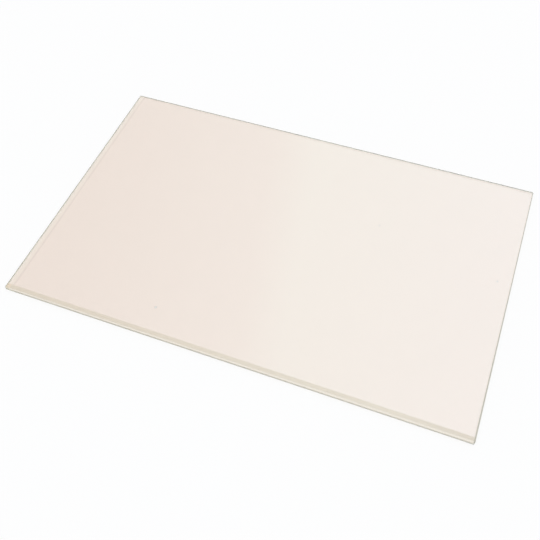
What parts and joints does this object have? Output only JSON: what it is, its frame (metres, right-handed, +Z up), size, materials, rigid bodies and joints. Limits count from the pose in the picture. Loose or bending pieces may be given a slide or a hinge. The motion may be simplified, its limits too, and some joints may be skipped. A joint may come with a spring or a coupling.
{
  "type": "fridge glass shelf",
  "caption": "Flat rectangular pane of toughened glass with seamed edges, dubbed corners and a shallow ground front bevel, laid across a fridge's side ledges as a shelf.",
  "frame": {"origin": "centre of the underside, on the surface that the pane lies on", "axes": "+Z up through the top face, +X to the right along the front edge, -Y towards the bevelled front edge"},
  "size_m": [0.472, 0.3, 0.004],
  "materials": {
    "glass": "polished faces with a faint warm tint, satin ground edges with a pale green-grey cast"
  },
  "bodies": {
    "root": {"glass_pane": "glass"}
  },
  "joints": []
}
